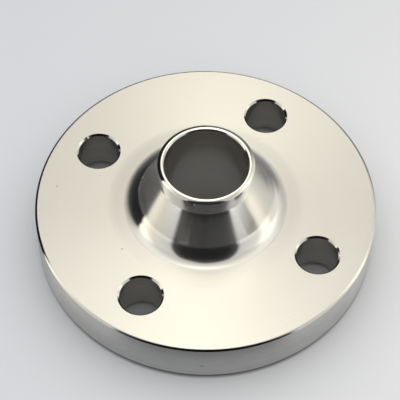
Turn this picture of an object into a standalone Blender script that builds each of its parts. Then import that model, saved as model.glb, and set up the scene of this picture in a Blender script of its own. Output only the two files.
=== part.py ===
"""Weld neck pipe flange: one forging, turned all over and drilled.

Metres, +Z up. The origin is on the bore axis in the plane of the raised gasket face,
and +Z points to the weld end. The holes straddle the X and Y axes.
"""
import math

import bpy

# Lengths along the bore axis, from the gasket face up to the weld end
RAISED_FACE_HEIGHT = 0.002
PLATE_THICKNESS = 0.016
TAPER_LENGTH = 0.016
NECK_LENGTH = 0.006

# Bore, neck and hub
BORE_DIAMETER = 0.0276
WALL_THICKNESS = 0.0022
HUB_FLARE = 0.007
ROOT_FILLET_RADIUS = 0.0072

# Bolting, and the rim and gasket face that follow it
BOLT_CIRCLE_DIAMETER = 0.085
BOLT_COUNT = 4
BOLT_HOLE_DIAMETER = 0.014
BOLT_EDGE_DISTANCE = 0.015
GASKET_FACE_CLEARANCE = 0.0015

# Weld end preparation
WELD_LAND_WIDTH = 0.0008
WELD_BEVEL_ANGLE = math.radians(25.0)

# Broken edges
RIM_CHAMFER = 0.0005
BOLT_HOLE_CHAMFER = 0.0006
BORE_CHAMFER = 0.00035
GASKET_EDGE_CHAMFER = 0.0003

# Facets
TURNED_STEPS = 96
HOLE_STEPS = 32
FILLET_STEPS = 7
SHARP_ANGLE = math.radians(20.0)

# How far a cutter runs past the faces it cuts
CUTTER_OVERRUN = 0.001

# Heights that follow
PLATE_BOTTOM = RAISED_FACE_HEIGHT
PLATE_TOP = PLATE_BOTTOM + PLATE_THICKNESS
NECK_FOOT = PLATE_TOP + TAPER_LENGTH
WELD_END = NECK_FOOT + NECK_LENGTH

# Radii that follow
BORE_RADIUS = BORE_DIAMETER / 2
NECK_RADIUS = BORE_RADIUS + WALL_THICKNESS
HUB_BASE_RADIUS = NECK_RADIUS + HUB_FLARE
BOLT_CIRCLE_RADIUS = BOLT_CIRCLE_DIAMETER / 2
BOLT_HOLE_RADIUS = BOLT_HOLE_DIAMETER / 2
RIM_RADIUS = BOLT_CIRCLE_RADIUS + BOLT_EDGE_DISTANCE
GASKET_FACE_RADIUS = BOLT_CIRCLE_RADIUS - BOLT_HOLE_RADIUS - GASKET_FACE_CLEARANCE


def clear_scene():
    for old in list(bpy.data.objects):
        bpy.data.objects.remove(old, do_unlink=True)


def new_collection(name):
    collection = bpy.data.collections.new(name)
    bpy.context.scene.collection.children.link(collection)
    return collection


def stainless_steel():
    """Turned stainless steel: a slightly warm, bright satin."""
    material = bpy.data.materials.new("stainless_steel")
    material.use_nodes = True
    shader = material.node_tree.nodes["Principled BSDF"]
    shader.inputs["Base Color"].default_value = (0.72, 0.70, 0.65, 1.0)
    shader.inputs["Metallic"].default_value = 1.0
    shader.inputs["Roughness"].default_value = 0.3
    return material


def weld_end_profile():
    """From the bore's mouth chamfer out over the land and down the weld bevel."""
    land_inner = BORE_RADIUS + BORE_CHAMFER
    land_outer = land_inner + WELD_LAND_WIDTH
    bevel_drop = (NECK_RADIUS - land_outer) * math.tan(WELD_BEVEL_ANGLE)
    return [
        (land_inner, WELD_END),
        (land_outer, WELD_END),
        (NECK_RADIUS, WELD_END - bevel_drop),
    ]


def hub_profile():
    """From the neck's foot down the taper, then round the fillet on to the plate."""
    taper_angle = math.atan2(TAPER_LENGTH, HUB_FLARE)
    centre_radius = HUB_BASE_RADIUS + ROOT_FILLET_RADIUS * math.tan(taper_angle / 2)
    centre_height = PLATE_TOP + ROOT_FILLET_RADIUS
    points = [(NECK_RADIUS, NECK_FOOT)]
    for step in range(FILLET_STEPS + 1):
        angle = taper_angle * (1 - step / FILLET_STEPS)
        radius = centre_radius - ROOT_FILLET_RADIUS * math.sin(angle)
        height = centre_height - ROOT_FILLET_RADIUS * math.cos(angle)
        points.append((radius, height))
    return points


def plate_profile():
    """Down the rim with its two chamfers."""
    return [
        (RIM_RADIUS - RIM_CHAMFER, PLATE_TOP),
        (RIM_RADIUS, PLATE_TOP - RIM_CHAMFER),
        (RIM_RADIUS, PLATE_BOTTOM + RIM_CHAMFER),
        (RIM_RADIUS - RIM_CHAMFER, PLATE_BOTTOM),
    ]


def gasket_face_profile():
    """In under the plate, over the raised face and up the bore to its mouth."""
    return [
        (GASKET_FACE_RADIUS, PLATE_BOTTOM),
        (GASKET_FACE_RADIUS, GASKET_EDGE_CHAMFER),
        (GASKET_FACE_RADIUS - GASKET_EDGE_CHAMFER, 0.0),
        (BORE_RADIUS + BORE_CHAMFER, 0.0),
        (BORE_RADIUS, BORE_CHAMFER),
        (BORE_RADIUS, WELD_END - BORE_CHAMFER),
    ]


def bolt_hole_profile():
    """A drill with a countersink at each face, from the top of its axis to the bottom."""
    flare_radius = BOLT_HOLE_RADIUS + BOLT_HOLE_CHAMFER + CUTTER_OVERRUN
    top = PLATE_TOP + CUTTER_OVERRUN
    bottom = PLATE_BOTTOM - CUTTER_OVERRUN
    return [
        (0.0, top),
        (flare_radius, top),
        (BOLT_HOLE_RADIUS, PLATE_TOP - BOLT_HOLE_CHAMFER),
        (BOLT_HOLE_RADIUS, PLATE_BOTTOM + BOLT_HOLE_CHAMFER),
        (flare_radius, bottom),
        (0.0, bottom),
    ]


def turned(name, profile, steps, closed, collection):
    """An object that turns a profile in the XZ plane once round Z."""
    count = len(profile)
    edges = [(i, i + 1) for i in range(count - 1)]
    if closed:
        edges.append((count - 1, 0))
    mesh = bpy.data.meshes.new(name)
    mesh.from_pydata([(radius, 0.0, height) for radius, height in profile], edges, [])
    piece = bpy.data.objects.new(name, mesh)
    collection.objects.link(piece)
    screw = piece.modifiers.new("Turning", "SCREW")
    screw.axis = "Z"
    screw.angle = math.tau
    screw.steps = steps
    screw.render_steps = steps
    screw.use_merge_vertices = True
    screw.merge_threshold = 0.00001
    return piece


def bolt_hole_cutters(collection):
    for index in range(BOLT_COUNT):
        angle = math.tau * (index + 0.5) / BOLT_COUNT
        cutter = turned("bolt_hole_cutter", bolt_hole_profile(), HOLE_STEPS, False, collection)
        cutter.location = (
            BOLT_CIRCLE_RADIUS * math.cos(angle),
            BOLT_CIRCLE_RADIUS * math.sin(angle),
            0.0,
        )
        cutter.hide_render = True
        cutter.display_type = "WIRE"


def weld_neck_flange(collection, cutters):
    """The turned blank, drilled, with its modifiers made real so that its edges can be marked."""
    profile = weld_end_profile() + hub_profile() + plate_profile() + gasket_face_profile()
    flange = turned("weld_neck_flange", profile, TURNED_STEPS, True, collection)
    drilling = flange.modifiers.new("Drilling", "BOOLEAN")
    drilling.operation = "DIFFERENCE"
    drilling.solver = "EXACT"
    drilling.operand_type = "COLLECTION"
    drilling.collection = cutters
    depsgraph = bpy.context.evaluated_depsgraph_get()
    drilled = bpy.data.meshes.new_from_object(flange.evaluated_get(depsgraph))
    drilled.name = "weld_neck_flange_drilled"
    flange.modifiers.clear()
    flange.data = drilled
    drilled.shade_smooth()
    drilled.set_sharp_from_angle(angle=SHARP_ANGLE)
    drilled.materials.clear()
    drilled.materials.append(stainless_steel())
    return flange


def main():
    clear_scene()
    parts = new_collection("weld_neck_flange")
    cutters = new_collection("cutters")
    bolt_hole_cutters(cutters)
    weld_neck_flange(parts, cutters)


main()
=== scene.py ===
"""The looks of the weld neck flange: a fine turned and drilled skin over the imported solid, its
machined finishes, and a small photo studio round it. Metres, +Z up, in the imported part's frame.
"""

import math

import bpy
from mathutils import Matrix, Vector


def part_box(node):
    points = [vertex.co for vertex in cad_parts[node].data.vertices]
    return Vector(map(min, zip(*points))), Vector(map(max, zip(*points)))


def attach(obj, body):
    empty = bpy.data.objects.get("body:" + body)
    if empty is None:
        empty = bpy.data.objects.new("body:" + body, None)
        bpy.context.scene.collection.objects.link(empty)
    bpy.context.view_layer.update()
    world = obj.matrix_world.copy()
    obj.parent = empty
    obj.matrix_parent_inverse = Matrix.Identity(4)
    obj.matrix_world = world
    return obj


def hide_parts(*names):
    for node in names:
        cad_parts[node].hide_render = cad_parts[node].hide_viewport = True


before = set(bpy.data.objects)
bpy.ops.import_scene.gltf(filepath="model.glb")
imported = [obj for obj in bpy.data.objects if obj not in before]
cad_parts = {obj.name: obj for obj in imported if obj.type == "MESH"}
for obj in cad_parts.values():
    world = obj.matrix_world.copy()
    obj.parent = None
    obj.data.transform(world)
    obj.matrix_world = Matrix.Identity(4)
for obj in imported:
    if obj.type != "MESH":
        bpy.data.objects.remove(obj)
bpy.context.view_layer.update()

# The part's own sizes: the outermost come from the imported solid
NODE = "weld_neck_flange"
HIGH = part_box(NODE)[1]
RIM_RADIUS = HIGH.x
WELD_END = HIGH.z
PLATE_BOTTOM = 0.002
PLATE_TOP = 0.018
NECK_FOOT = 0.034
BORE_RADIUS = 0.0138
NECK_RADIUS = 0.016
HUB_BASE_RADIUS = 0.023
ROOT_FILLET_RADIUS = 0.0072
GASKET_FACE_RADIUS = 0.034
BOLT_CIRCLE_RADIUS = 0.0425
BOLT_HOLE_RADIUS = 0.007
BOLT_COUNT = 4
WELD_LAND_WIDTH = 0.0008
WELD_BEVEL_ANGLE = math.radians(25.0)
BOLT_HOLE_CHAMFER = 0.0006
BORE_CHAMFER = 0.00035
GASKET_EDGE_CHAMFER = 0.0003

# The rim's chamfer, and the slightly rolled edge just inside it on the bolting face
RIM_CHAMFER = 0.00047
RIM_ROLL_WIDTH = 0.00025
RIM_ROLL_DROP = 0.0001

# The facing stands a little proud round the foot of the root fillet, and runs out smoothly
RUN_OUT_START = 0.0255
RUN_OUT_END = 0.0335
RUN_OUT_DEPTH = 0.0002

# Concentric grooves that the lathe leaves on the gasket face
GROOVE_PITCH = 0.0008
GROOVE_DEPTH = 0.00006

# Fineness of the skin
TURNED_SIDES = 360
HOLE_SIDES = 96
FILLET_STEPS = 24
RUN_OUT_STEPS = 16
EDGE_SEGMENTS = 2
EDGE_RADIUS = 0.00004
HOLDING_WIDTH = 0.0003
WELD_DISTANCE = 0.000002
SHARP_ANGLE = math.radians(18.0)
CUTTER_OVERRUN = 0.001

# How level a facet is, from 0 for an upright one to 1 for a flat one
UPRIGHT = 0.1
HALF_LEVEL = 0.5
LEVEL_DRILL_END = 0.9
LEVEL_GASKET_FACE = 0.95
LEVEL_BY_RIM = 0.97
LEVEL_BY_HOLE = 0.99

# Where two finishes meet: the polish of the hub ends in the facing, and the grooves start
HUB_FINISH_RADIUS = 0.02695
GASKET_FINISH_HEIGHT = GASKET_EDGE_CHAMFER * 0.9

# Sockets of a Mix node: its two numbers, its two colours, and the colour that comes out
NUMBER_A, NUMBER_B = 2, 3
COLOUR_A, COLOUR_B = 6, 7
COLOUR_OUT = 2

# Streaks of the tool in turns to the metre along them and to a feed across them, and clouds of
# tone in turns to the metre
STREAK_SCALE = 45.0
STREAKS_PER_FEED = 0.8
CLOUD_SCALE = 110.0
NOISE_DETAIL = 2.0

# The middle part of the noise spreads over all the tone, and a little more of it over the gloss
TONE_SPAN = {"From Min": 0.35, "From Max": 0.65}
GLOSS_SPAN = {"From Min": 0.3, "From Max": 0.7}

# How much the even rings show in the relief beside the uneven streaks
RING_SHARE = 0.4

# Roughness that is added up along the hub, by distance from the axis
TAPER_ROUGHNESS = {"From Min": 0.0195, "From Max": 0.0228, "To Min": 0.2, "To Max": 0.12}
FOOT_ROUGHNESS = {"From Min": 0.0245, "From Max": 0.0277, "To Min": 0.0, "To Max": 0.13}
NECK_ROUGHNESS = {"From Min": 0.0162, "From Max": 0.0172, "To Min": -0.07, "To Max": 0.0}

# Marks of handling: turn in degrees from the camera's side, radius, height, half width round
# the axis, half length across, strength
FACE_SPECKS = [
    (-96.6, 0.0509, 0.018, 0.00045, 0.00035, 0.5),
    (-54.9, 0.0336, 0.018, 0.0006, 0.0004, 0.4),
]
RIM_SPECKS = [
    (-0.7, 0.0575, 0.0083, 0.0009, 0.0006, 0.45),
    (-31.0, 0.0575, 0.0088, 0.0005, 0.0003, 0.3),
    (-29.3, 0.0575, 0.0081, 0.0005, 0.0003, 0.35),
]
SPECK_TONE = "#5d5750"
SPECK_CORE = 0.4

# Camera. Its azimuth turns it about the bore axis, so that the holes lie as the photo has them
CAMERA_AZIMUTH = math.radians(-15.68)
CAMERA_ELEVATION = math.radians(55.25)
CAMERA_ROLL = math.radians(0.63)
CAMERA_DISTANCE = 0.54064
CAMERA_TARGET_RIGHT = -0.00191
CAMERA_TARGET_AWAY = 0.01322
CAMERA_LENS = 138.17
CAMERA_NEAREST = 0.01
SENSOR_WIDTH = 36.0

# Paper on the floor, with a painted falloff of light: its tone from the left to the right of the
# camera's view, and darker at the back
PAPER_SIZE = 6.0
PAPER_LEFT = "#d5d7da"
PAPER_RIGHT = "#e2e2e2"
PAPER_BACK = "#c8c9cc"
PAPER_SIDEWAYS = {"From Min": -0.07, "From Max": 0.07}
PAPER_BACKWARDS = {"From Min": 0.03, "From Max": 0.17, "To Max": 0.5}

# Metal mirrors the paper only up to here from the axis, fading out between the two
MIRRORED_PAPER = {"From Min": 0.07, "From Max": 0.08}

# A painted shadow laid on the paper under the plate, by millimetres from the axis: it deepens the
# shadow in the thin gap, which the soft dome alone leaves too light
GAP_REACH = 60
GAP_SHADE = [
    (-60, "#ffffff"), (14, "#ffffff"), (34, "#dcdcdc"), (49, "#dcdcdc"),
    (53, "#8a8a8c"), (56.3, "#8a8a8c"), (57.6, "#ffffff"),
]

# What the bright metal mirrors, by azimuth in degrees: 0 is the camera's side, and positive is
# to its right. The walls stand below the skyline, and pass from the low row of tones to the high
# one near the horizon.
HALF_TURN = 180
RIGHT_ANGLE = 90
WALLS = [
    (-179.9, "#3a3a3a"), (-150, "#121213"), (-125, "#0c0c0d"), (-101, "#0c0c0d"),
    (-98, "#d8d3c5"), (-92, "#d8d3c5"), (-79, "#c0baad"), (-65, "#bbbab2"), (-49.5, "#b5b4b2"),
    (-44.5, "#3a3a3a"), (-32, "#171717"), (-4, "#090909"), (0, "#000000"), (4, "#090909"),
    (9, "#1d1d1c"), (13, "#0b0b0b"), (20, "#101010"), (36, "#1c1c1c"), (43.5, "#363636"),
    (48.5, "#bebdbb"), (65, "#bebdb9"), (79, "#bbb8b1"), (90, "#e2dfd3"), (96, "#e2dfd3"),
    (106, "#b4b0a6"), (118, "#a4a29b"), (126, "#939290"), (133, "#6f6f6e"), (141, "#555554"),
    (160, "#585858"),
]
HIGH_WALLS = [
    (-179.9, "#4a4a4a"), (-165, "#3c3c3c"), (-150, "#1a1a1b"), (-125, "#0f0f10"),
    (-101, "#0f0f10"), (-98, "#cdc7b8"), (-92, "#cdc7b8"), (-79, "#b2aca0"), (-65, "#a3a29c"),
    (-51, "#9a9997"), (-45.5, "#303030"), (-32, "#0c0c0c"), (-4, "#050505"), (4, "#050505"),
    (32, "#0c0c0c"), (45.5, "#303030"), (51, "#9c9b99"), (65, "#a3a39f"), (79, "#aeaba4"),
    (90, "#d6d2c5"), (96, "#d6d2c5"), (106, "#b4b0a6"), (118, "#b0aea5"), (127, "#b2b0a9"),
    (134, "#a6a49e"), (140, "#878583"), (147, "#5e5e5d"), (160, "#646463"), (179.9, "#505050"),
]
WALL_CHANGE = {"From Min": -5 / RIGHT_ANGLE, "From Max": 14 / RIGHT_ANGLE}

# The ceiling is above the skyline, which is given in degrees above the horizon
CEILING = [
    (-179.9, "#9a9891"), (-168, "#94928b"), (-152, "#7a7872"), (-125, "#8c8a83"),
    (-104, "#d8d4c6"), (-96, "#d8d4c6"), (-80, "#a8a6a0"), (-60, "#a3a19b"), (60, "#a3a19b"),
    (80, "#b0aea9"), (96, "#dcd8ca"), (106, "#e0dcce"), (125, "#b6b4ab"), (152, "#82807a"),
    (168, "#94928b"), (179.9, "#9a9891"),
]
SKYLINE = [
    (-179.9, 46), (-172, 50), (-163, 48), (-150, 48), (-135, 50), (-127, 50), (-116, 49),
    (-110, 46), (-103, 32), (-98, 24), (-62, 44), (-58, 50), (-54, 61), (-50, 66), (-41, 70),
    (-33, 73), (-22, 76), (-8, 79), (8, 79), (22, 77), (33, 75), (41, 72), (50, 68), (55, 63),
    (58, 50), (62, 44), (100, 30), (130, 28), (179.9, 46),
]
SKYLINE_EDGE = {"From Min": -0.02, "From Max": 0.02}

# The ceiling straight overhead, from the camera's side (-1) to the far side (1)
OVERHEAD = [
    (-0.15, "#9a9892"), (-0.05, "#9f9d97"), (0.03, "#a5a39c"), (0.09, "#aba9a2"),
    (0.14, "#bdbbb2"), (0.33, "#b9b7b1"), (0.4, "#b2b0aa"), (0.47, "#a09e99"), (0.56, "#7a7872"),
]
OVERHEAD_CHANGE = {"From Min": 51 / RIGHT_ANGLE, "From Max": 59 / RIGHT_ANGLE}

# A bright strip of lamps that runs away from the camera, a little left of the middle
LAMP_TONE = "#fff8e6"
LAMP_SHIFT = 0.004
LAMP_ACROSS = {"From Min": 0.0, "From Max": 0.15, "To Min": 1.0, "To Max": 0.0}
LAMP_ALONG = {"From Min": 0.06, "From Max": 0.3}

# A little haze on the walls, on their ledge high up and below the horizon
HAZE_TONE = "#959593"
LEDGE_HAZE = {"From Min": 60 / RIGHT_ANGLE, "From Max": 64 / RIGHT_ANGLE, "To Max": 0.05}
FOOT_HAZE = {
    "From Min": math.radians(-12), "From Max": math.radians(0), "To Min": 0.015, "To Max": 0.0,
}

# Strength of what the metal mirrors, and of the dome that lights the rest, brightest up and back
MIRRORED_STRENGTH = 1.95
DOME_AXIS = (0.05, 0.2, 0.98)
DOME_STRENGTH = {"From Min": -0.1, "From Max": 1.0, "To Min": 0.12, "To Max": 1.45}


def linear(code):
    """An sRGB hex colour as linear RGBA."""
    channels = [int(code[i:i + 2], 16) / 255 for i in (1, 3, 5)]
    return [c / 12.92 if c <= 0.04045 else ((c + 0.055) / 1.055) ** 2.4 for c in channels] + [1.0]


def add(tree, kind, inputs=None, links=None, **settings):
    """Adds a node with its settings, its input values and its incoming links."""
    made = tree.nodes.new(kind)
    for name, value in settings.items():
        setattr(made, name, value)
    for socket, value in (inputs or {}).items():
        made.inputs[socket].default_value = value
    for socket, source in (links or {}).items():
        tree.links.new(source, made.inputs[socket])
    return made


def set_stops(ramp, reach, stops):
    """Gives a colour ramp its stops, for a place that runs from -reach to reach. A stop has a
    colour, or a height in degrees."""
    elements = ramp.color_ramp.elements
    for position, value in stops:
        stop = elements.new((position + reach) / (2 * reach))
        if isinstance(value, str):
            stop.color = linear(value)
        else:
            share = value / RIGHT_ANGLE
            stop.color = (share, share, share, 1)
    elements.remove(elements[0])
    elements.remove(elements[-1])


# Turned skin


def select_only(piece):
    bpy.ops.object.select_all(action="DESELECT")
    piece.select_set(True)
    bpy.context.view_layer.objects.active = piece


def run_out(radius):
    """How far the facing still stands above the plate at this radius."""
    share = min(max((RUN_OUT_END - radius) / (RUN_OUT_END - RUN_OUT_START), 0.0), 1.0)
    return RUN_OUT_DEPTH * share * share * (3 - 2 * share)


def fillet_points():
    """The root fillet, tangent to the taper and to the plate, with the run-out that follows it."""
    taper_angle = math.atan2(NECK_FOOT - PLATE_TOP, HUB_BASE_RADIUS - NECK_RADIUS)
    centre_radius = HUB_BASE_RADIUS + ROOT_FILLET_RADIUS * math.tan(taper_angle / 2)
    centre_height = PLATE_TOP + ROOT_FILLET_RADIUS
    points = []
    for step in range(FILLET_STEPS + 1):
        angle = taper_angle * (1 - step / FILLET_STEPS)
        radius = centre_radius - ROOT_FILLET_RADIUS * math.sin(angle)
        height = centre_height - ROOT_FILLET_RADIUS * math.cos(angle)
        points.append((radius, height + run_out(radius)))
    for step in range(1, RUN_OUT_STEPS + 1):
        radius = centre_radius + (RUN_OUT_END - centre_radius) * step / RUN_OUT_STEPS
        points.append((radius, PLATE_TOP + run_out(radius)))
    return points


def groove_points():
    """Inwards over the gasket face: shallow rounded grooves, one feed of the tool apart."""
    inner = BORE_RADIUS + BORE_CHAMFER
    outer = GASKET_FACE_RADIUS - GASKET_EDGE_CHAMFER
    count = round((outer - inner) / GROOVE_PITCH)
    pitch = (outer - inner) / count
    points = []
    for index in range(count):
        crest = outer - index * pitch
        points += [(crest, 0.0), (crest - pitch / 2, GROOVE_DEPTH)]
    return points + [(inner, 0.0)]


def section():
    """The turned section, from the bore's mouth over the weld end, down the outside, in over the
    gasket face and back up the bore."""
    land_inner = BORE_RADIUS + BORE_CHAMFER
    land_outer = land_inner + WELD_LAND_WIDTH
    bevel_foot = WELD_END - (NECK_RADIUS - land_outer) * math.tan(WELD_BEVEL_ANGLE)
    return [
        (land_inner, WELD_END),
        (land_outer, WELD_END),
        (NECK_RADIUS, bevel_foot),
        (NECK_RADIUS, NECK_FOOT),
        *fillet_points(),
        (RIM_RADIUS - RIM_CHAMFER - RIM_ROLL_WIDTH - HOLDING_WIDTH, PLATE_TOP),
        (RIM_RADIUS - RIM_CHAMFER - RIM_ROLL_WIDTH, PLATE_TOP),
        (RIM_RADIUS - RIM_CHAMFER, PLATE_TOP - RIM_ROLL_DROP),
        (RIM_RADIUS, PLATE_TOP - RIM_ROLL_DROP - RIM_CHAMFER),
        (RIM_RADIUS, PLATE_BOTTOM + RIM_CHAMFER),
        (RIM_RADIUS - RIM_CHAMFER, PLATE_BOTTOM),
        (GASKET_FACE_RADIUS, PLATE_BOTTOM),
        (GASKET_FACE_RADIUS, GASKET_EDGE_CHAMFER),
        *groove_points(),
        (BORE_RADIUS, BORE_CHAMFER),
        (BORE_RADIUS, WELD_END - BORE_CHAMFER),
    ]


def turned_blank(name):
    """A circle, extruded ring by ring round the section until it closes on itself."""
    points = section()
    radius, height = points[0]
    bpy.ops.object.select_all(action="DESELECT")
    bpy.ops.mesh.primitive_circle_add(vertices=TURNED_SIDES, radius=radius)
    blank = bpy.context.object
    blank.name = name
    blank.data.name = name
    bpy.ops.object.mode_set(mode="EDIT")
    bpy.ops.mesh.select_all(action="SELECT")
    bpy.ops.transform.translate(value=(0, 0, height))
    for next_radius, next_height in points[1:] + points[:1]:
        grow = next_radius / radius
        rise = next_height - height
        bpy.ops.mesh.extrude_region_move(TRANSFORM_OT_translate={"value": (0, 0, rise)})
        bpy.ops.transform.resize(value=(grow, grow, 1), center_override=(0, 0, next_height))
        radius, height = next_radius, next_height
    bpy.ops.mesh.select_all(action="SELECT")
    bpy.ops.mesh.remove_doubles(threshold=WELD_DISTANCE)
    bpy.ops.mesh.normals_make_consistent(inside=False)
    bpy.ops.mesh.select_all(action="DESELECT")
    bpy.ops.mesh.select_mode(type="EDGE")
    bpy.ops.mesh.edges_select_sharp(sharpness=SHARP_ANGLE)
    bpy.ops.mesh.bevel(offset=EDGE_RADIUS, segments=EDGE_SEGMENTS, affect="EDGES")
    bpy.ops.mesh.select_all(action="DESELECT")
    bpy.ops.mesh.select_mode(type="VERT")
    bpy.ops.object.mode_set(mode="OBJECT")
    return blank


def countersunk_drill(place):
    """A cylinder whose two ends flare at 45 degrees where they leave the plate."""
    flare = BOLT_HOLE_CHAMFER + CUTTER_OVERRUN
    grow = (BOLT_HOLE_RADIUS + flare) / BOLT_HOLE_RADIUS
    straight = PLATE_TOP - PLATE_BOTTOM - 2 * BOLT_HOLE_CHAMFER
    middle = (PLATE_TOP + PLATE_BOTTOM) / 2
    bpy.ops.object.select_all(action="DESELECT")
    bpy.ops.mesh.primitive_cylinder_add(
        vertices=HOLE_SIDES, radius=BOLT_HOLE_RADIUS, depth=straight, location=(*place, middle)
    )
    drill = bpy.context.object
    for side in (1, -1):
        rise = side * flare
        flared_end = middle + side * straight / 2 + rise
        bpy.ops.object.mode_set(mode="EDIT")
        bpy.ops.mesh.select_mode(type="FACE")
        bpy.ops.mesh.select_all(action="DESELECT")
        bpy.ops.object.mode_set(mode="OBJECT")
        for face in drill.data.polygons:
            face.select = face.normal.z * side > LEVEL_DRILL_END
        bpy.ops.object.mode_set(mode="EDIT")
        bpy.ops.mesh.extrude_region_move(TRANSFORM_OT_translate={"value": (0, 0, rise)})
        bpy.ops.transform.resize(value=(grow, grow, 1), center_override=(*place, flared_end))
        bpy.ops.object.mode_set(mode="OBJECT")
    return drill


def bolt_places():
    """The middles of the bolt holes, midway between the X and Y axes."""
    angles = [math.tau * (index + 0.5) / BOLT_COUNT for index in range(BOLT_COUNT)]
    return [
        (BOLT_CIRCLE_RADIUS * math.cos(angle), BOLT_CIRCLE_RADIUS * math.sin(angle))
        for angle in angles
    ]


def drill_holes(blank):
    for place in bolt_places():
        drill = countersunk_drill(place)
        select_only(blank)
        cut = blank.modifiers.new("Bolt hole", "BOOLEAN")
        cut.operation = "DIFFERENCE"
        cut.solver = "EXACT"
        cut.object = drill
        bpy.ops.object.modifier_apply(modifier=cut.name)
        bpy.data.objects.remove(drill, do_unlink=True)


# Finishes


def photo_frame():
    """The photo's own right and away directions on the floor, in the part's frame."""
    right = Vector((math.cos(CAMERA_AZIMUTH), math.sin(CAMERA_AZIMUTH), 0))
    away = Vector((-math.sin(CAMERA_AZIMUTH), math.cos(CAMERA_AZIMUTH), 0))
    return right, away


def steel(name, dark, light, roughness, spread, feed, depth, anisotropy=0.0, along_axis=False):
    """Bare stainless steel as the tool leaves it: a metal of a slightly warm grey, with one fine
    ring to each feed of the tool, uneven streaks along the rings, and slow clouds of tone and
    gloss.

    The rings follow each other along the section, or along the axis in a bore. Turned faces
    scatter light across their rings, so their tangent is turned a quarter to point outwards.
    """
    material = bpy.data.materials.new(name)
    material.use_nodes = True
    tree = material.node_tree
    shader = tree.nodes["Principled BSDF"]
    shader.inputs["Metallic"].default_value = 1.0
    if anisotropy:
        shader.inputs["Anisotropic"].default_value = anisotropy
        shader.inputs["Anisotropic Rotation"].default_value = 0.25
        tangent = add(tree, "ShaderNodeTangent", direction_type="RADIAL", axis="Z")
        tree.links.new(tangent.outputs["Tangent"], shader.inputs["Tangent"])

    # How far along the section, or along the axis
    spot = add(tree, "ShaderNodeTexCoord")
    part = add(tree, "ShaderNodeSeparateXYZ", links={"Vector": spot.outputs["Object"]})
    flat = add(tree, "ShaderNodeVectorMath", {1: (1, 1, 0)}, {0: spot.outputs["Object"]},
               operation="MULTIPLY")
    radius = add(tree, "ShaderNodeVectorMath", links={0: flat.outputs[0]}, operation="LENGTH",
                 name="radius")
    section_run = add(tree, "ShaderNodeMath",
                      links={0: radius.outputs["Value"], 1: part.outputs["Z"]},
                      operation="SUBTRACT")
    run = part.outputs["Z"] if along_axis else section_run.outputs[0]

    # Rings, streaks and clouds
    phase = add(tree, "ShaderNodeMath", {1: math.tau / feed}, {0: run}, operation="MULTIPLY")
    rings = add(tree, "ShaderNodeMath", links={0: phase.outputs[0]}, operation="SINE")
    drawn_out = add(tree, "ShaderNodeCombineXYZ",
                    links={"X": part.outputs["X"], "Y": part.outputs["Y"], "Z": run})
    scaled = add(tree, "ShaderNodeVectorMath",
                 {1: (STREAK_SCALE, STREAK_SCALE, STREAKS_PER_FEED / feed)},
                 {0: drawn_out.outputs[0]}, operation="MULTIPLY")
    streaks = add(tree, "ShaderNodeTexNoise", {"Scale": 1.0, "Detail": NOISE_DETAIL},
                  {"Vector": scaled.outputs[0]})
    clouds = add(tree, "ShaderNodeTexNoise", {"Scale": CLOUD_SCALE, "Detail": NOISE_DETAIL},
                 {"Vector": spot.outputs["Object"]})
    noise = add(tree, "ShaderNodeMix", {0: 0.5},
                {NUMBER_A: streaks.outputs["Fac"], NUMBER_B: clouds.outputs["Fac"]})

    # Tone, gloss and relief
    blend = add(tree, "ShaderNodeMapRange", TONE_SPAN, {"Value": noise.outputs[0]})
    tone = add(tree, "ShaderNodeMix", {COLOUR_A: linear(dark), COLOUR_B: linear(light)},
               {0: blend.outputs[0]}, data_type="RGBA")
    tree.links.new(tone.outputs[COLOUR_OUT], shader.inputs["Base Color"])
    gloss = add(tree, "ShaderNodeMapRange", {**GLOSS_SPAN, "To Min": -spread, "To Max": spread},
                {"Value": noise.outputs[0]})
    finish = add(tree, "ShaderNodeMath", {1: roughness}, {0: gloss.outputs[0]}, operation="ADD",
                 name="roughness")
    tree.links.new(finish.outputs[0], shader.inputs["Roughness"])
    marks = add(tree, "ShaderNodeMath", {1: RING_SHARE},
                {0: rings.outputs[0], 2: streaks.outputs["Fac"]}, operation="MULTIPLY_ADD")
    relief = add(tree, "ShaderNodeBump", {"Strength": 1.0, "Distance": depth},
                 {"Height": marks.outputs[0]})
    tree.links.new(relief.outputs["Normal"], shader.inputs["Normal"])
    return material


def specks(material, places):
    """A few dull marks of handling, each an oval that fades out at its edge."""
    tree = material.node_tree
    shader = tree.nodes["Principled BSDF"]
    right, away = photo_frame()
    for degrees, radius, height, wide, long, strength in places:
        turn = math.radians(degrees)
        outwards = right * math.sin(turn) - away * math.cos(turn)
        middle = outwards * radius + Vector((0, 0, height))
        round_axis = Vector((-outwards.y, outwards.x, 0)) / wide
        across = (outwards + Vector((0, 0, 1))) / long
        spot = add(tree, "ShaderNodeTexCoord")
        offset = add(tree, "ShaderNodeVectorMath", {1: middle}, {0: spot.outputs["Object"]},
                     operation="SUBTRACT")
        sideways = add(tree, "ShaderNodeVectorMath", {1: round_axis}, {0: offset.outputs[0]},
                       operation="DOT_PRODUCT")
        lengthways = add(tree, "ShaderNodeVectorMath", {1: across}, {0: offset.outputs[0]},
                         operation="DOT_PRODUCT")
        both = add(tree, "ShaderNodeCombineXYZ",
                   links={"X": sideways.outputs["Value"], "Y": lengthways.outputs["Value"]})
        away_from = add(tree, "ShaderNodeVectorMath", links={0: both.outputs[0]},
                        operation="LENGTH")
        mark = add(tree, "ShaderNodeMapRange",
                   {"From Min": SPECK_CORE, "From Max": 1.0, "To Min": strength, "To Max": 0.0},
                   {"Value": away_from.outputs["Value"]}, interpolation_type="SMOOTHSTEP")
        under = shader.inputs["Base Color"].links[0].from_socket
        dulled = add(tree, "ShaderNodeMix", {COLOUR_B: linear(SPECK_TONE)},
                     {0: mark.outputs[0], COLOUR_A: under}, data_type="RGBA")
        tree.links.new(dulled.outputs[COLOUR_OUT], shader.inputs["Base Color"])


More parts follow.
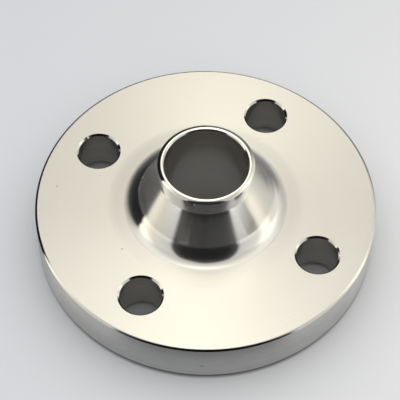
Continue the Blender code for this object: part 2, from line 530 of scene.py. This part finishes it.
def turned_hub():
    """The neck and the foot of the taper are polished most. The taper above keeps more of the
    tool's marks, and the foot of the fillet blends into the coarser facing of the plate."""
    material = steel("tapered_stainless_steel", "#edecea", "#f0efed", roughness=0.0,
                     spread=0.008, feed=0.0004, depth=0.0000004, anisotropy=0.9)
    tree = material.node_tree
    radius = tree.nodes["radius"].outputs["Value"]
    taper = add(tree, "ShaderNodeMapRange", TAPER_ROUGHNESS, {"Value": radius})
    foot = add(tree, "ShaderNodeMapRange", FOOT_ROUGHNESS, {"Value": radius})
    neck = add(tree, "ShaderNodeMapRange", NECK_ROUGHNESS, {"Value": radius})
    lower = add(tree, "ShaderNodeMath", links={0: taper.outputs[0], 1: foot.outputs[0]},
                operation="ADD")
    whole = add(tree, "ShaderNodeMath", links={0: lower.outputs[0], 1: neck.outputs[0]},
                operation="ADD")
    tree.links.new(whole.outputs[0], tree.nodes["roughness"].inputs[1])
    return material


def faced_plate():
    """The bolting face: satin facing cuts from the rim to the hub."""
    material = steel("faced_stainless_steel", "#e0dfdc", "#e5e4e1", roughness=0.263,
                     spread=0.012, feed=0.0006, depth=0.0000008, anisotropy=0.74)
    specks(material, FACE_SPECKS)
    return material


def turned_rim():
    """The rim is turned less finely than the face, so it is rougher, and has been handled. Its
    steel colour is darker than the face's: painted shade for the shaded paper that it mirrors.
    """
    # Darker colours than the face's steel: painted shade for the shaded paper the rim mirrors
    material = steel("turned_stainless_steel", "#b9b9b8", "#c4c4c3", roughness=0.4,
                     spread=0.02, feed=0.0007, depth=0.0000015, anisotropy=0.7)
    specks(material, RIM_SPECKS)
    return material


def finishes():
    """Cut edges are almost mirrors, the bore and the drilled holes are greyer and smooth, and the
    gasket face is a plain satin. The feeds are drawn a few times coarser than the real 0.1 to
    0.2 mm, which no picture of this size shows."""
    return {
        "face": faced_plate(),
        "rim": turned_rim(),
        "hub": turned_hub(),
        "edge": steel("cut_edge_stainless_steel", "#e3e2df", "#e9e8e5", roughness=0.06,
                      spread=0.01, feed=0.0003, depth=0.0000002),
        "bore": steel("bored_stainless_steel", "#c0beb8", "#ccc9c3", roughness=0.24,
                      spread=0.02, feed=0.0009, depth=0.0000003, along_axis=True),
        "hole": steel("drilled_stainless_steel", "#b8b6b0", "#c6c4be", roughness=0.2,
                      spread=0.03, feed=0.0006, depth=0.0000005, along_axis=True),
        "gasket": steel("grooved_stainless_steel", "#cfcdc5", "#d5d3cb", roughness=0.3,
                        spread=0.02, feed=0.0004, depth=0.0000006, anisotropy=0.5),
    }


def zone(centre, normal):
    """Which finish a facet has, from where it lies on the turned section and how level it is."""
    radius = math.hypot(centre.x, centre.y)
    reach = min(math.hypot(centre.x - x, centre.y - y) for x, y in bolt_places())
    level = abs(normal.z)
    if reach < BOLT_HOLE_RADIUS + BOLT_HOLE_CHAMFER + EDGE_RADIUS and level < LEVEL_BY_HOLE:
        return "hole" if level < UPRIGHT else "edge"
    if radius < BORE_RADIUS + EDGE_RADIUS and level < UPRIGHT:
        return "bore"
    if centre.z > NECK_FOOT + EDGE_RADIUS and level > UPRIGHT:
        return "edge"
    if centre.z < GASKET_FINISH_HEIGHT and level > LEVEL_GASKET_FACE:
        return "gasket"
    if radius > RIM_RADIUS - RIM_CHAMFER - RIM_ROLL_WIDTH and level < LEVEL_BY_RIM:
        return "rim" if level < UPRIGHT else "edge"
    if radius < HUB_FINISH_RADIUS and centre.z > PLATE_TOP:
        return "hub"
    return "face" if level > HALF_LEVEL else "rim"


def finish_skin(skin):
    select_only(skin)
    bpy.ops.object.shade_smooth_by_angle(angle=SHARP_ANGLE)
    skin.data.materials.clear()
    places = {}
    for name, material in finishes().items():
        places[name] = len(skin.data.materials)
        skin.data.materials.append(material)
    for face in skin.data.polygons:
        face.material_index = places[zone(face.center, face.normal)]


# Studio


def place_camera():
    right, away = photo_frame()
    target = right * CAMERA_TARGET_RIGHT + away * CAMERA_TARGET_AWAY
    back = Vector((0, 0, math.sin(CAMERA_ELEVATION))) - away * math.cos(CAMERA_ELEVATION)
    up = back.cross(right)
    rolled_right = right * math.cos(CAMERA_ROLL) + up * math.sin(CAMERA_ROLL)
    rolled_up = up * math.cos(CAMERA_ROLL) - right * math.sin(CAMERA_ROLL)
    camera = bpy.data.objects.new("camera", bpy.data.cameras.new("camera"))
    bpy.context.scene.collection.objects.link(camera)
    turn = Matrix((rolled_right, rolled_up, back)).transposed().to_4x4()
    camera.matrix_world = Matrix.Translation(target + back * CAMERA_DISTANCE) @ turn
    camera.data.sensor_width = SENSOR_WIDTH
    camera.data.lens = CAMERA_LENS
    camera.data.clip_start = CAMERA_NEAREST
    bpy.context.scene.camera = camera


def paper_tone_and_painted_shade(tree, spot):
    """Pale grey paper with painted shade: darker to the left and to the back as a painted falloff
    of light, and a painted shadow in the gap under the plate.
    """
    right, away = photo_frame()
    # Painted falloff of light: the paper darkens to the left and to the back
    across = add(tree, "ShaderNodeVectorMath", {1: right}, {0: spot}, operation="DOT_PRODUCT")
    side = add(tree, "ShaderNodeMapRange", PAPER_SIDEWAYS, {"Value": across.outputs["Value"]})
    shade = add(tree, "ShaderNodeMix",
                {COLOUR_A: linear(PAPER_LEFT), COLOUR_B: linear(PAPER_RIGHT)},
                {0: side.outputs[0]}, data_type="RGBA")
    deep = add(tree, "ShaderNodeVectorMath", {1: away}, {0: spot}, operation="DOT_PRODUCT")
    back = add(tree, "ShaderNodeMapRange", PAPER_BACKWARDS, {"Value": deep.outputs["Value"]})
    darker = add(tree, "ShaderNodeMix", {COLOUR_B: linear(PAPER_BACK)},
                 {0: back.outputs[0], COLOUR_A: shade.outputs[COLOUR_OUT]}, data_type="RGBA")
    # Painted shadow under the plate, darkest just inside the rim
    outwards = add(tree, "ShaderNodeVectorMath", links={0: spot}, operation="LENGTH")
    reach = GAP_REACH / 1000
    place = add(tree, "ShaderNodeMapRange", {"From Min": -reach, "From Max": reach},
                {"Value": outwards.outputs["Value"]})
    gap = add(tree, "ShaderNodeValToRGB", links={"Fac": place.outputs[0]})
    set_stops(gap, GAP_REACH, GAP_SHADE)
    painted_gap_shadow = add(tree, "ShaderNodeMix", {0: 1.0},
                 {COLOUR_A: darker.outputs[COLOUR_OUT], COLOUR_B: gap.outputs["Color"]},
                 data_type="RGBA", blend_type="MULTIPLY")
    return painted_gap_shadow.outputs[COLOUR_OUT]


def lay_floor():
    """Matte pale paper. Bright metal doesn't mirror it far from the flange, where the dark sides
    of the studio begin."""
    bpy.ops.object.select_all(action="DESELECT")
    bpy.ops.mesh.primitive_plane_add(size=PAPER_SIZE)
    floor = bpy.context.object
    floor.name = "floor"
    material = bpy.data.materials.new("matte_paper")
    material.use_nodes = True
    tree = material.node_tree
    shader = tree.nodes["Principled BSDF"]
    shader.inputs["Roughness"].default_value = 0.9
    shader.inputs["Specular IOR Level"].default_value = 0.1
    spot = add(tree, "ShaderNodeTexCoord").outputs["Object"]
    tree.links.new(paper_tone_and_painted_shade(tree, spot), shader.inputs["Base Color"])
    outwards = add(tree, "ShaderNodeVectorMath", links={0: spot}, operation="LENGTH")
    far = add(tree, "ShaderNodeMapRange", MIRRORED_PAPER, {"Value": outwards.outputs["Value"]})
    ray = add(tree, "ShaderNodeLightPath")
    unseen = add(tree, "ShaderNodeMath",
                 links={0: far.outputs[0], 1: ray.outputs["Is Glossy Ray"]},
                 operation="MULTIPLY")
    clear = add(tree, "ShaderNodeBsdfTransparent")
    paper = add(tree, "ShaderNodeMixShader",
                links={0: unseen.outputs[0], 1: shader.outputs[0], 2: clear.outputs[0]})
    tree.links.new(paper.outputs[0], tree.nodes["Material Output"].inputs["Surface"])
    floor.data.materials.append(material)


def mirrored_room(tree, parts):
    """The tone of the studio in each direction, seen from the flange: walls up to the skyline,
    and above it the ceiling with its strip of lamps."""
    front = add(tree, "ShaderNodeMath", {1: -1.0}, {0: parts.outputs["Y"]}, operation="MULTIPLY")
    turn = add(tree, "ShaderNodeMath", links={0: parts.outputs["X"], 1: front.outputs[0]},
               operation="ARCTAN2")
    azimuth = add(tree, "ShaderNodeMapRange", {"From Min": -math.pi, "From Max": math.pi},
                  {"Value": turn.outputs[0]})
    height = add(tree, "ShaderNodeMath", links={0: parts.outputs["Z"]}, operation="ARCSINE")
    share = add(tree, "ShaderNodeMath", {1: math.pi / 2}, {0: height.outputs[0]},
                operation="DIVIDE")

    # Walls, with a little haze
    tones = {}
    for name, stops in (
        ("low walls", WALLS), ("high walls", HIGH_WALLS), ("ceiling", CEILING),
        ("skyline", SKYLINE),
    ):
        ramp = add(tree, "ShaderNodeValToRGB", links={"Fac": azimuth.outputs[0]})
        set_stops(ramp, HALF_TURN, stops)
        tones[name] = ramp.outputs["Color"]
    rise = add(tree, "ShaderNodeMapRange", WALL_CHANGE, {"Value": share.outputs[0]})
    walls = add(tree, "ShaderNodeMix", links={
        0: rise.outputs[0], COLOUR_A: tones["low walls"], COLOUR_B: tones["high walls"],
    }, data_type="RGBA")
    ledge = add(tree, "ShaderNodeMapRange", LEDGE_HAZE, {"Value": share.outputs[0]})
    foot = add(tree, "ShaderNodeMapRange", FOOT_HAZE, {"Value": height.outputs[0]})
    haze = add(tree, "ShaderNodeMath", links={0: ledge.outputs[0], 1: foot.outputs[0]},
               operation="ADD")
    hazy = add(tree, "ShaderNodeMix", {COLOUR_B: linear(HAZE_TONE)},
               {0: haze.outputs[0], COLOUR_A: walls.outputs[COLOUR_OUT]}, data_type="RGBA")

    # Ceiling, with its strip of lamps
    depth = add(tree, "ShaderNodeMapRange", {"From Min": -1.0, "From Max": 1.0},
                {"Value": parts.outputs["Y"]})
    overhead = add(tree, "ShaderNodeValToRGB", links={"Fac": depth.outputs[0]})
    set_stops(overhead, 1, OVERHEAD)
    top = add(tree, "ShaderNodeMapRange", OVERHEAD_CHANGE, {"Value": share.outputs[0]},
              interpolation_type="SMOOTHSTEP")
    roof = add(tree, "ShaderNodeMix", links={
        0: top.outputs[0], COLOUR_A: tones["ceiling"], COLOUR_B: overhead.outputs["Color"],
    }, data_type="RGBA")
    shifted = add(tree, "ShaderNodeMath", {1: LAMP_SHIFT}, {0: parts.outputs["X"]},
                  operation="ADD")
    aside = add(tree, "ShaderNodeMath", links={0: shifted.outputs[0]}, operation="ABSOLUTE")
    strip = add(tree, "ShaderNodeMapRange", LAMP_ACROSS, {"Value": aside.outputs[0]},
                interpolation_type="SMOOTHSTEP")
    behind = add(tree, "ShaderNodeMapRange", LAMP_ALONG, {"Value": parts.outputs["Y"]})
    lit = add(tree, "ShaderNodeMath", links={0: strip.outputs[0], 1: behind.outputs[0]},
              operation="MULTIPLY")
    lamps = add(tree, "ShaderNodeMix", {COLOUR_B: linear(LAMP_TONE)},
                {0: lit.outputs[0], COLOUR_A: roof.outputs[COLOUR_OUT]}, data_type="RGBA")

    # The skyline between the two
    over = add(tree, "ShaderNodeMath", links={0: share.outputs[0], 1: tones["skyline"]},
               operation="SUBTRACT")
    above = add(tree, "ShaderNodeMapRange", SKYLINE_EDGE, {"Value": over.outputs[0]},
                interpolation_type="SMOOTHSTEP")
    room = add(tree, "ShaderNodeMix", links={
        0: above.outputs[0],
        COLOUR_A: hazy.outputs[COLOUR_OUT],
        COLOUR_B: lamps.outputs[COLOUR_OUT],
    }, data_type="RGBA")
    return room.outputs[COLOUR_OUT]


def light_studio():
    """Plain soft light from all round. What the bare metal mirrors is a studio with its bright
    walls and ceiling and its dark corners, each where the photo shows it in the metal."""
    world = bpy.data.worlds.new("studio")
    bpy.context.scene.world = world
    world.use_nodes = True
    tree = world.node_tree
    spot = add(tree, "ShaderNodeTexCoord")
    turned = add(tree, "ShaderNodeMapping", {"Rotation": (0, 0, -CAMERA_AZIMUTH)},
                 {"Vector": spot.outputs["Generated"]}, vector_type="POINT")
    parts = add(tree, "ShaderNodeSeparateXYZ", links={"Vector": turned.outputs["Vector"]})
    mirrored = tree.nodes["Background"]
    mirrored.inputs["Strength"].default_value = MIRRORED_STRENGTH
    tree.links.new(mirrored_room(tree, parts), mirrored.inputs["Color"])
    lean = add(tree, "ShaderNodeVectorMath", {1: DOME_AXIS}, {0: turned.outputs["Vector"]},
               operation="DOT_PRODUCT")
    dome = add(tree, "ShaderNodeMapRange", DOME_STRENGTH, {"Value": lean.outputs["Value"]})
    soft = add(tree, "ShaderNodeBackground", {"Color": (1, 1, 1, 1)},
               {"Strength": dome.outputs[0]})
    ray = add(tree, "ShaderNodeLightPath")
    seen = add(tree, "ShaderNodeMixShader", links={
        0: ray.outputs["Is Glossy Ray"], 1: soft.outputs[0], 2: mirrored.outputs[0],
    })
    tree.links.new(seen.outputs[0], tree.nodes["World Output"].inputs["Surface"])


def main():
    skin = turned_blank("flange_skin")
    drill_holes(skin)
    finish_skin(skin)
    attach(skin, "root")
    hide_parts(NODE)
    lay_floor()
    light_studio()
    place_camera()
    bpy.context.scene.view_settings.view_transform = "Standard"


main()
